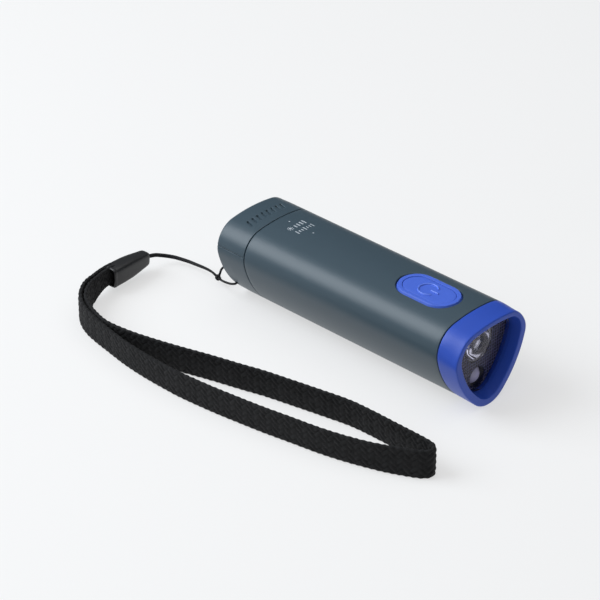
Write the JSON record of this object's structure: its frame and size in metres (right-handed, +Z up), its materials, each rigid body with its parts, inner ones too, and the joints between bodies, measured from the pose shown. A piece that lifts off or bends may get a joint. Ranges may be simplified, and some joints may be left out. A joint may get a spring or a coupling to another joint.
{
  "type": "keychain flashlight",
  "caption": "Pocket flashlight with a rounded-triangle body, a recessed lens, a push button on top, a pull-out battery carrier on its tail cap and a wrist lanyard.",
  "frame": {"origin": "on the surface the flashlight rests on, under the middle of its length and width, measured without the lanyard", "axes": "+X the way the light shines, +Y across the body to the right as seen from behind it with the button up, +Z up through the button"},
  "size_m": [0.1555, 0.0846, 0.0322],
  "materials": {
    "slate_plastic": "satin moulded slate grey",
    "blue_plastic": "satin moulded blue",
    "blue_button": "soft satin blue",
    "clear_lens": "clear moulded",
    "black_plastic": "matt moulded",
    "ferrule_plastic": "fine matt, moulded",
    "light_board": "white solder mask on metal",
    "bare_aluminium": "brushed",
    "led_phosphor": "yellow phosphor",
    "steel": "bright zinc",
    "circuit_board": "green solder mask",
    "spring_brass": "plated",
    "cell_jacket": "printed wrap",
    "seal_rubber": "smooth",
    "cord_nylon": "twisted nylon",
    "strap_webbing": "braided nylon"
  },
  "bodies": {
    "housing": {"body_shell": "slate_plastic", "front_bezel": "blue_plastic", "lens_window": "clear_lens", "optic_holder": "black_plastic", "main_optic": "clear_lens", "side_optic": "clear_lens", "led_board": "light_board", "heat_sink_plate": "bare_aluminium", "main_led": "led_phosphor", "side_led": "led_phosphor", "board_screw_left": "steel", "board_screw_right": "steel", "button_surround": "blue_button", "switch_body": "black_plastic", "inner_chassis": "black_plastic", "driver_board": "circuit_board", "driver_chip": "black_plastic", "driver_inductor": "black_plastic", "driver_capacitor": "bare_aluminium", "driver_screw_left": "steel", "driver_screw_right": "steel", "positive_spring": "spring_brass", "negative_leaf": "spring_brass"},
    "button": {"button_pad": "blue_button", "switch_plunger": "black_plastic"},
    "tail": {"cell_1": "cell_jacket", "cell_spring_1": "steel", "cell_contact_1": "spring_brass", "cell_2": "cell_jacket", "cell_spring_2": "steel", "cell_contact_2": "spring_brass", "cell_3": "cell_jacket", "cell_spring_3": "steel", "cell_contact_3": "spring_brass", "battery_carrier": "black_plastic", "tail_cap_upper": "slate_plastic", "tail_cap_lower": "slate_plastic", "cap_spigot": "black_plastic", "cap_seal": "seal_rubber", "lanyard_cord": "cord_nylon", "lanyard_ferrule": "ferrule_plastic", "wrist_strap": "strap_webbing"}
  },
  "joints": [
    {"name": "button_press", "type": "slide", "parent": "housing", "child": "button", "axis": [0, 0, -1], "range_m": [0, 0.0007], "stiffness_N_per_m": 3500},
    {"name": "cap_slide", "type": "slide", "parent": "housing", "child": "tail", "axis": [-1, 0, 0], "range_m": [0, 0.052]}
  ]
}
